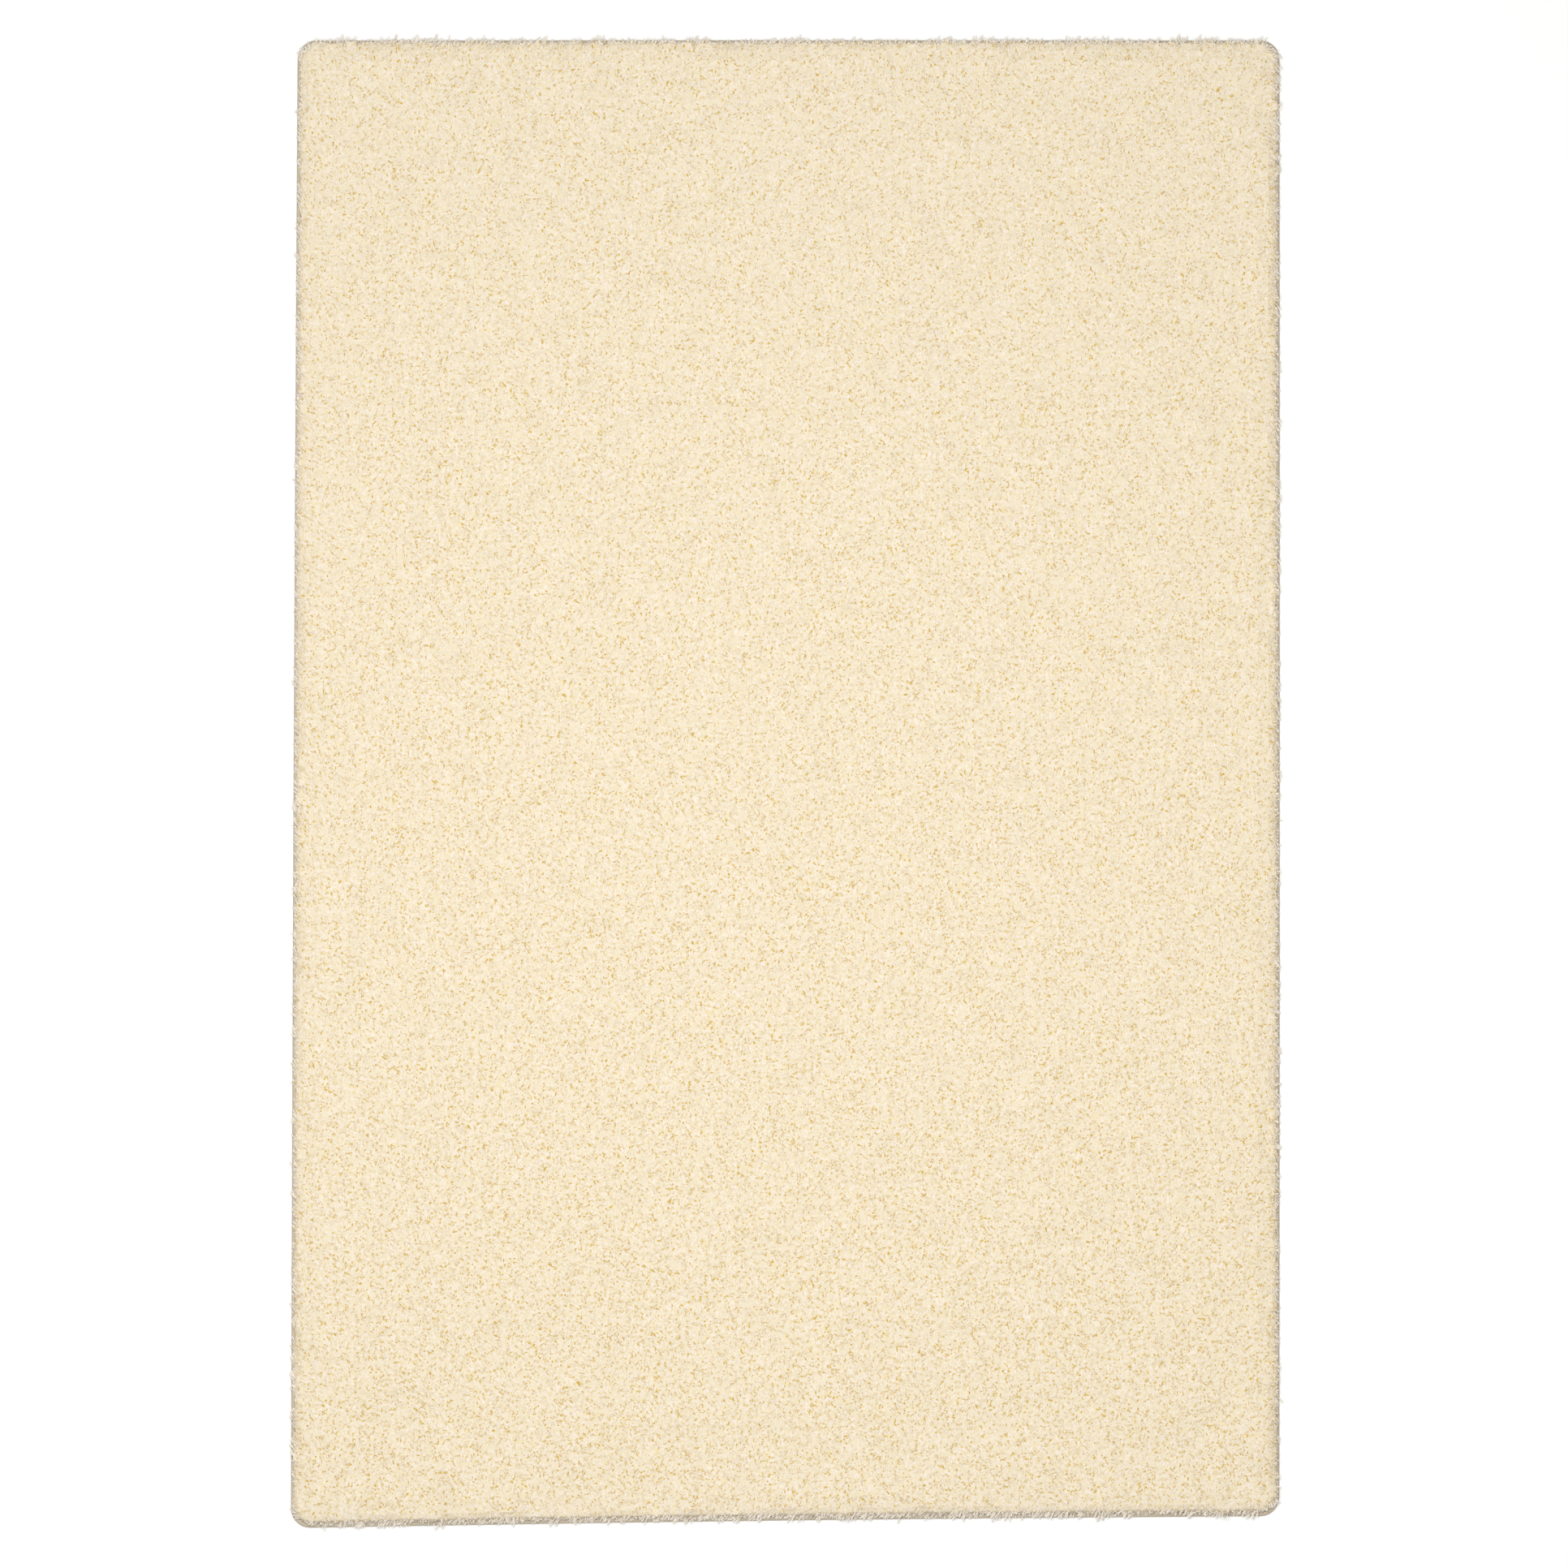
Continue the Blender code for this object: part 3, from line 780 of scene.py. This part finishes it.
def pile_colour(tree, ends, shade, at_rim, clear, gold_shade=None):
    """Cream yarn ends over a yellower depth painted as shade, another colour near the rim, and
    painted gold shade deep between the tufts.
    """
    add = partial(add_node, tree)
    mix = {"data_type": "RGBA"}
    # Low yarn ends take the bed's yellower colour, as painted shade, and high ones the tip's
    both = add("ShaderNodeMix", {"Factor": ends, "A": colour("bed"), "B": colour("tip")}, **mix)
    inputs = {"Vector": add("ShaderNodeTexCoord").outputs["Object"], "Scale": 1 / PATCH_LENGTH}
    cloudy = add("ShaderNodeTexNoise", {**inputs, "Detail": 1.0})
    inputs = {"Value": cloudy, "From Min": PATCH_FROM, "From Max": PATCH_TO, "To Max": PATCH_MOST}
    patches = add(MAP_RANGE, inputs)
    for share, over in ((patches, "bed"), (shade, "bed"), (gold_shade, "root")):
        if share is not None:
            both = add("ShaderNodeMix", {"Factor": share, "A": both, "B": colour(over)}, **mix)
    # Near the rim the colour goes over to the given rim colour, with low ends painted darker as
    # shade: on the tufts a whiter yarn, on the bed the painted shadow between the rim's yarns
    inside = add("ShaderNodeAttribute", attribute_name="rim").outputs["Fac"]
    inputs = {"Value": inside, "From Min": RIM_FULL, "From Max": clear}
    inputs |= {"To Min": RIM_SHARE, "To Max": 0.0}
    near_rim = add(MAP_RANGE, inputs, interpolation_type="SMOOTHSTEP")
    inputs = {"Factor": ends, "A": darker(at_rim, RIM_LOW_END_SHADE), "B": colour(at_rim)}
    edge = add("ShaderNodeMix", inputs, **mix)
    inputs = {"Factor": near_rim, "A": both.outputs[2], "B": edge.outputs[2]}
    return add("ShaderNodeMix", inputs, **mix)


def pile_bump(tree, ends, strength):
    """Yarn ends stand up a little."""
    inputs = {"Height": ends, "Strength": strength, "Distance": END_HEIGHT}
    return add_node(tree, "ShaderNodeBump", inputs)


# Painted shade down a tuft's side towards its root: from and to these shares of its length, and how
# much
SIDE_FROM, SIDE_TO, SIDE_PAINTED_SHADE = 0.3, 0.9, 0.8
# Least and greatest shade that a tuft has of its own
OWN_SHADE_LEAST, OWN_SHADE_MOST = -0.15, 0.5
# How gold a deep tuft is painted, as shade, where its yarn ends lie low, and where they lie high
GOLD_LOW_END, GOLD_HIGH_END = 1.5, 0.2
# Painted light and shade: a tuft's brightness, which stands for the way its cut end faces the
# light, comes from its tone folded this often, so that it doesn't follow its depth
TONE_FOLD = 0.043
DIMMEST, BRIGHTEST = 0.94, 1.03
# Depths from the rim at which its colour ends, on the tufts and on the bed below them, where it is
# the painted shadow of the under colour
TUFTS_CLEAR, BED_CLEAR = 0.026, 0.0115


def polyester_yarn_cut():
    """Polyester yarn, heat-set and cut: matt cream ends, with yellower sides and gold depths
    painted on as shade.
    """
    made, tree, shader = new_material("polyester_yarn_cut", 0.9, sheen=0.3)
    add = partial(add_node, tree)
    tip, tone, deep = (
        add("ShaderNodeAttribute", attribute_name=name).outputs["Fac"]
        for name in ("tip", "tone", "deep")
    )
    # Painted shade: towards its root a tuft's side is mixed to the bed's yellower colour, and each
    # tuft adds its own random tone
    inputs = {"Value": tip, "From Min": SIDE_FROM, "From Max": SIDE_TO}
    depth = add(MAP_RANGE, {**inputs, "To Min": SIDE_PAINTED_SHADE, "To Max": 0.0})
    own = {"Value": tone, "To Min": OWN_SHADE_LEAST, "To Max": OWN_SHADE_MOST}
    own = add(MAP_RANGE, own)
    shade = add(MATH, {0: depth, 1: own}, operation="ADD", use_clamp=True)
    ends = yarn_ends(tree)
    # Painted shade: the gold of a deep tuft is broken into short flecks where its yarn ends lie low
    inputs = {"Value": ends, "To Min": GOLD_LOW_END, "To Max": GOLD_HIGH_END}
    gold_shade = {0: deep, 1: add(MAP_RANGE, inputs)}
    gold_shade = add(MATH, gold_shade, operation="MULTIPLY", use_clamp=True)
    painted = pile_colour(tree, ends, shade, "rim", TUFTS_CLEAR, gold_shade)
    # Painted light and shade: each tuft is made a little brighter or dimmer
    fold = add(MATH, {0: tone, 1: TONE_FOLD}, operation="PINGPONG")
    inputs = {"Value": fold, "From Max": TONE_FOLD, "To Min": DIMMEST, "To Max": BRIGHTEST}
    own = add(MAP_RANGE, inputs)
    painted = add(VECTOR_MATH, {0: painted.outputs[2], "Scale": own}, operation="SCALE")
    tree.links.new(painted.outputs[0], shader.inputs["Base Color"])
    tree.links.new(pile_bump(tree, ends, 0.6).outputs[0], shader.inputs["Normal"])
    return made


# Painted shade: how far the whole bed is mixed towards its yellower colour
BED_PAINTED_SHADE = 0.3


def polyester_yarn_depth():
    """The same yarn between the tufts: quite matt, its ends lower and painted yellower as shade,
    with no gold.
    """
    made, tree, shader = new_material("polyester_yarn_depth", 0.95)
    ends = yarn_ends(tree)
    painted = pile_colour(tree, ends, BED_PAINTED_SHADE, "under", BED_CLEAR)
    tree.links.new(painted.outputs[2], shader.inputs["Base Color"])
    tree.links.new(pile_bump(tree, ends, 0.5).outputs[0], shader.inputs["Normal"])
    return made


# How far a rim yarn is out of the shadow at its root and at its tip, and the darkest's and
# palest's share of that
STRAND_ROOT, STRAND_TIP = 0.75, 1.5
STRAND_DARKEST, STRAND_PALEST = 0.5, 1.4


def polyester_yarn_side():
    """The same yarn seen from its side at the rim: whiter than the cut ends, and greyer with
    painted shadow towards its root.
    """
    made, tree, shader = new_material("polyester_yarn_side", 0.85)
    add = partial(add_node, tree)
    tip = add("ShaderNodeAttribute", attribute_name="tip").outputs["Fac"]
    tone = add("ShaderNodeAttribute", attribute_name="tone").outputs["Fac"]
    inputs = {"Value": tone, "To Min": STRAND_DARKEST, "To Max": STRAND_PALEST}
    own = add(MAP_RANGE, inputs)
    inputs = {"Value": tip, "To Min": STRAND_ROOT, "To Max": STRAND_TIP}
    raised = {0: add(MAP_RANGE, inputs), 1: own}
    raised = add(MATH, raised, operation="MULTIPLY", use_clamp=True)
    two_colours(tree, shader, raised, colour("under"), colour("rim"))
    return made


# How much of its dark a stitch may show, and how dark that is
STITCH_SHADE, STITCH_DARK = 0.25, 0.6


def overlock_yarn():
    """Polyester overlock yarn: smooth, tan, slightly shiny along each stitch."""
    made, tree, shader = new_material("polyester_overlock_yarn", 0.75, sheen=0.1)
    add = partial(add_node, tree)
    tone = add("ShaderNodeAttribute", attribute_name="tone").outputs["Fac"]
    shade = add(MAP_RANGE, {"Value": tone, "To Max": STITCH_SHADE})
    two_colours(tree, shader, shade, colour("binding"), darker("binding", STITCH_DARK))
    return made


# The tapes of the backing: their width, how far their crowns stand up, and the painted shade where
# they dip between them
TAPE, TAPE_CROWN, TAPE_DIP_SHADE = 1.2 * MM, 0.4 * MM, 0.55


def woven_backing():
    """Woven polypropylene backing: flat tapes 1.2 mm wide crossing at right angles."""
    made, tree, shader = new_material("polypropylene_woven_backing", 0.8)
    add = partial(add_node, tree)
    place = add("ShaderNodeTexCoord").outputs["Object"]
    parts = add("ShaderNodeSeparateXYZ", {0: place}).outputs
    across, along = (
        add(MATH, {0: parts[way], 1: TAPE}, operation="PINGPONG") for way in "XY"
    )
    crown = add(MATH, {0: across, 1: along}, operation="MULTIPLY")
    weave = add(MAP_RANGE, {"Value": crown, "From Min": 0.0, "From Max": TAPE * TAPE})
    bump = add("ShaderNodeBump", {"Height": weave, "Strength": 0.5, "Distance": TAPE_CROWN})
    # Painted shade: the cloth darkens where the weave is low, as the bump does
    two_colours(tree, shader, weave, darker("cloth", TAPE_DIP_SHADE), colour("cloth"))
    tree.links.new(bump.outputs[0], shader.inputs["Normal"])
    return made


# The floor's faint clouds: their length, the span of noise over which they come up, and how much
# of the grey they show at most
CLOUD_LENGTH, CLOUD_FROM, CLOUD_TO, CLOUD_MOST = 1.5, 0.3, 0.7, 0.02
CLOUD_GREY = (0.9, 0.9, 0.9, 1.0)


def studio_floor():
    """Painted board: matt, all but white, with faint unevenness."""
    made, tree, shader = new_material("painted_studio_floor", 0.9)
    add = partial(add_node, tree)
    place = add("ShaderNodeTexCoord").outputs["Object"]
    cloudy = add("ShaderNodeTexNoise", {"Vector": place, "Scale": 1 / CLOUD_LENGTH})
    inputs = {"Value": cloudy, "From Min": CLOUD_FROM, "From Max": CLOUD_TO, "To Max": CLOUD_MOST}
    faint = add(MAP_RANGE, inputs)
    two_colours(tree, shader, faint, colour("floor"), CLOUD_GREY)
    return made


# ---------------------------------------------------------------- operators


class RUG_OT_ground_cloth(bpy.types.Operator):
    """The flat backing cloth under the pile"""

    bl_idname = "rug.ground_cloth"
    bl_label = "Ground cloth"

    def execute(self, context):
        data = plain_mesh("ground_cloth", cad_mesh("backing"))
        data.materials.append(woven_backing())
        finish_piece(add_object("ground_cloth", data), "backing_cloth", "backing")
        return {"FINISHED"}


class RUG_OT_edge_bead(bpy.types.Operator):
    """The core of the sewn edge"""

    bl_idname = "rug.edge_bead"
    bl_label = "Edge bead"

    def execute(self, context):
        data = plain_mesh("edge_bead", cad_mesh("edge_binding"))
        data.shade_smooth()
        data.materials.append(overlock_yarn())
        finish_piece(add_object("edge_bead", data), "binding_yarn", "edge_binding")
        return {"FINISHED"}


class RUG_OT_edge_stitches(bpy.types.Operator):
    """The overcast stitches round the edge bead"""

    bl_idname = "rug.edge_stitches"
    bl_label = "Edge stitches"

    def execute(self, context):
        settings = {
            "Pitch": sizes().stitch_pitch,
            "Yarn": sizes().stitch_yarn,
            "Seed": STITCH_SEED,
            "Material": bpy.data.materials["polyester_overlock_yarn"],
        }
        made = grown("edge_stitches", rim_loop(), stitch_tree(), settings)
        made.data.shade_smooth()
        finish_piece(made, "binding_yarn")
        return {"FINISHED"}


BED_FOOT_INSET = 0.0060


class RUG_OT_pile_bed(bpy.types.Operator):
    """The bed of the pile, which shows between the tufts"""

    bl_idname = "rug.pile_bed"
    bl_label = "Pile bed"

    def execute(self, context):
        low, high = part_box("pile")
        top = pile_surface(low.y, high.y, sizes().bed_depth)
        mesh = bmesh.new()
        mesh.from_mesh(top)
        rim = [e for e in mesh.edges if e.is_boundary]
        made = bmesh.ops.extrude_edge_only(mesh, edges=rim)["geom"]
        finder = rim_finder()
        for vert in (g for g in made if isinstance(g, bmesh.types.BMVert)):
            nearest, out, _ = way_to_rim(finder, vert.co)
            vert.co = nearest - out * BED_FOOT_INSET + Vector((0.0, 0.0, low.z))
        foot = [g for g in made if isinstance(g, bmesh.types.BMEdge)]
        bmesh.ops.triangle_fill(mesh, use_beauty=True, edges=foot)
        bmesh.ops.recalc_face_normals(mesh, faces=mesh.faces)
        put_in_order(mesh)
        data = plain_mesh("pile_bed", mesh)
        mark_rim(data)
        data.materials.append(polyester_yarn_depth())
        finish_piece(add_object("pile_bed", data), "pile_yarn", "pile")
        return {"FINISHED"}


TUFT_ROOT_DEPTH = 0.0022


class RUG_OT_pile_field(bpy.types.Operator):
    """The tufts of cut yarn over the whole rug, in strips"""

    bl_idname = "rug.pile_field"
    bl_label = "Pile field"

    def execute(self, context):
        material = polyester_yarn_cut()
        tree = tuft_tree()
        low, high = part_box("pile")
        count = sizes().field_pieces
        depth = (high.y - low.y) / count
        for strip in range(count):
            start = low.y + depth * strip
            surface = pile_surface(start, start + depth, TUFT_ROOT_DEPTH)
            settings = {
                "Spacing": sizes().tuft_spacing,
                "Width": sizes().tuft_width,
                "Length": sizes().tuft_length,
                "Seed": strip,
                "Material": material,
            }
            piece = grown(f"pile_field_{strip + 1}", surface, tree, settings)
            finish_piece(piece, "pile_yarn")
        return {"FINISHED"}


# Rows of yarn at the rim, from the lowest up, and last the strays that stick out of some locks: the
# pitch as a share of the usual one, the level of the lock pattern below which it is bare, how far
# inside the yarns' ends and how high it starts, how steeply it rises, how far it droops, how far it
# reaches and how pale its palest yarn is; a low palest paints more of the row in the painted shadow
RimRow = namedtuple("RimRow", "pitch bare inset height rise droop reach palest")
RIM_ROWS = (
    RimRow(1.0, 0.35, 0.0024, 0.0070, -0.10, 0.0010, 0.0065, 1.0),
    RimRow(1.0, 0.37, 0.0046, 0.0100, 0.00, 0.0022, 0.0075, 1.0),
    RimRow(1.0, 0.42, 0.0072, 0.0130, 0.05, 0.0030, 0.0085, 1.0),
    RimRow(1.1, 0.38, 0.0102, 0.0150, 0.10, 0.0030, 0.0090, 1.0),
    RimRow(1.2, 0.56, 0.0030, 0.0110, 0.15, 0.0030, 0.0085, 0.4),
)
# A row draws by three seeds after its own, so that the rows' seeds lie further apart
ROW_SEEDS = 10


class RUG_OT_rim_yarns(bpy.types.Operator):
    """The yarns that splay out over the sewn edge"""

    bl_idname = "rug.rim_yarns"
    bl_label = "Rim yarns"

    def execute(self, context):
        material = polyester_yarn_side()
        tree = rim_tree()
        rows = []
        for number, row in enumerate(RIM_ROWS):
            settings = {
                **{name.capitalize(): value for name, value in row._asdict().items()},
                "Pitch": sizes().rim_yarn_pitch * row.pitch,
                "Short": SHORT,
                "Longer far": LONGER_FAR,
                "Short corner": SHORT_CORNER,
                "Lean": LEAN,
                "Lean long side": LEAN_LONG_SIDE,
                "Width": sizes().rim_yarn_width,
                "Seed": ROW_SEEDS * number,
                "Material": material,
            }
            rows.append(grown(f"rim_row_{number}", rim_loop(), tree, settings))
        finish_piece(joined("rim_yarns", rows), "pile_yarn")
        return {"FINISHED"}


class RUG_OT_declare_cloth(bpy.types.Operator):
    """A step that does nothing"""

    bl_idname = "rug.declare_cloth"
    bl_label = "Declare cloth"

    def execute(self, context):
        return {"FINISHED"}


CAMERA_TARGET = (-0.0052, -0.0083, 0.0)
CAMERA_DISTANCE = 12.0
CAMERA_TILT = math.radians(4.0)
CAMERA_LENS = 204.7
CAMERA_REACH = 100.0
# Lamps: place, diameter and power in watts
Lamp = namedtuple("Lamp", "name place size power")
LAMPS = (
    Lamp("softbox", (-0.25, -0.20, 4.2), 1.8, 120.0),
    Lamp("far_window", (-1.0, 6.0, 8.0), 4.0, 40.0),
)
ROOM_LIGHT = 0.48
FLOOR_SIDE = 60.0
FLOOR_GAP = 0.0002


class RUG_OT_stage(bpy.types.Operator):
    """Pale floor, soft studio light and the camera almost straight above"""

    bl_idname = "rug.stage"
    bl_label = "Stage"

    def execute(self, context):
        scene = context.scene
        mesh = bmesh.new()
        bmesh.ops.create_grid(mesh, x_segments=1, y_segments=1, size=FLOOR_SIDE / 2)
        bmesh.ops.translate(mesh, vec=(0.0, 0.0, -FLOOR_GAP), verts=mesh.verts)
        data = plain_mesh("studio_floor", mesh)
        data.materials.append(studio_floor())
        add_object("studio_floor", data)

        camera = bpy.data.objects.new("camera", bpy.data.cameras.new("camera"))
        scene.collection.objects.link(camera)
        camera.data.lens = CAMERA_LENS
        camera.data.clip_end = CAMERA_REACH
        back = Vector((0.0, -math.sin(CAMERA_TILT), math.cos(CAMERA_TILT)))
        camera.location = Vector(CAMERA_TARGET) + back * CAMERA_DISTANCE
        camera.rotation_euler = (CAMERA_TILT, 0.0, 0.0)
        scene.camera = camera

        for lamp in LAMPS:
            light = bpy.data.lights.new(lamp.name, "AREA")
            light.shape = "DISK"
            light.size = lamp.size
            light.energy = lamp.power
            hung = bpy.data.objects.new(lamp.name, light)
            scene.collection.objects.link(hung)
            hung.location = lamp.place
            hung.rotation_euler = (-Vector(lamp.place)).to_track_quat("-Z", "Y").to_euler()

        world = bpy.data.worlds.new("studio")
        scene.world = world
        world.use_nodes = True
        background = world.node_tree.nodes["Background"]
        background.inputs["Color"].default_value = WHITE
        background.inputs["Strength"].default_value = ROOM_LIGHT
        scene.view_settings.view_transform = "Standard"
        return {"FINISHED"}


class RUG_PT_panel(bpy.types.Panel):
    """Lists the pieces of the rug"""

    bl_label = "Rug"
    bl_space_type = "VIEW_3D"
    bl_region_type = "UI"
    bl_category = "Rug"

    def draw(self, context):
        for group in (context.scene.rug_sizes, context.scene.rug_colours):
            for name in group.__annotations__:
                self.layout.prop(group, name)
        for operator in STEPS:
            self.layout.operator(operator.bl_idname)


STEPS = (
    RUG_OT_ground_cloth,
    RUG_OT_edge_bead,
    RUG_OT_edge_stitches,
    RUG_OT_pile_bed,
    RUG_OT_pile_field,
    RUG_OT_rim_yarns,
    RUG_OT_declare_cloth,
    RUG_OT_stage,
)
CLASSES = (RugSizes, RugColours, *STEPS, RUG_PT_panel)


def register():
    for made in CLASSES:
        bpy.utils.register_class(made)
    bpy.types.Scene.rug_sizes = PointerProperty(type=RugSizes)
    bpy.types.Scene.rug_colours = PointerProperty(type=RugColours)


def unregister():
    del bpy.types.Scene.rug_sizes
    del bpy.types.Scene.rug_colours
    for made in reversed(CLASSES):
        bpy.utils.unregister_class(made)


def main():
    register()
    for step in STEPS:
        group, name = step.bl_idname.split(".")
        getattr(getattr(bpy.ops, group), name)()


if __name__ == "__main__":
    main()
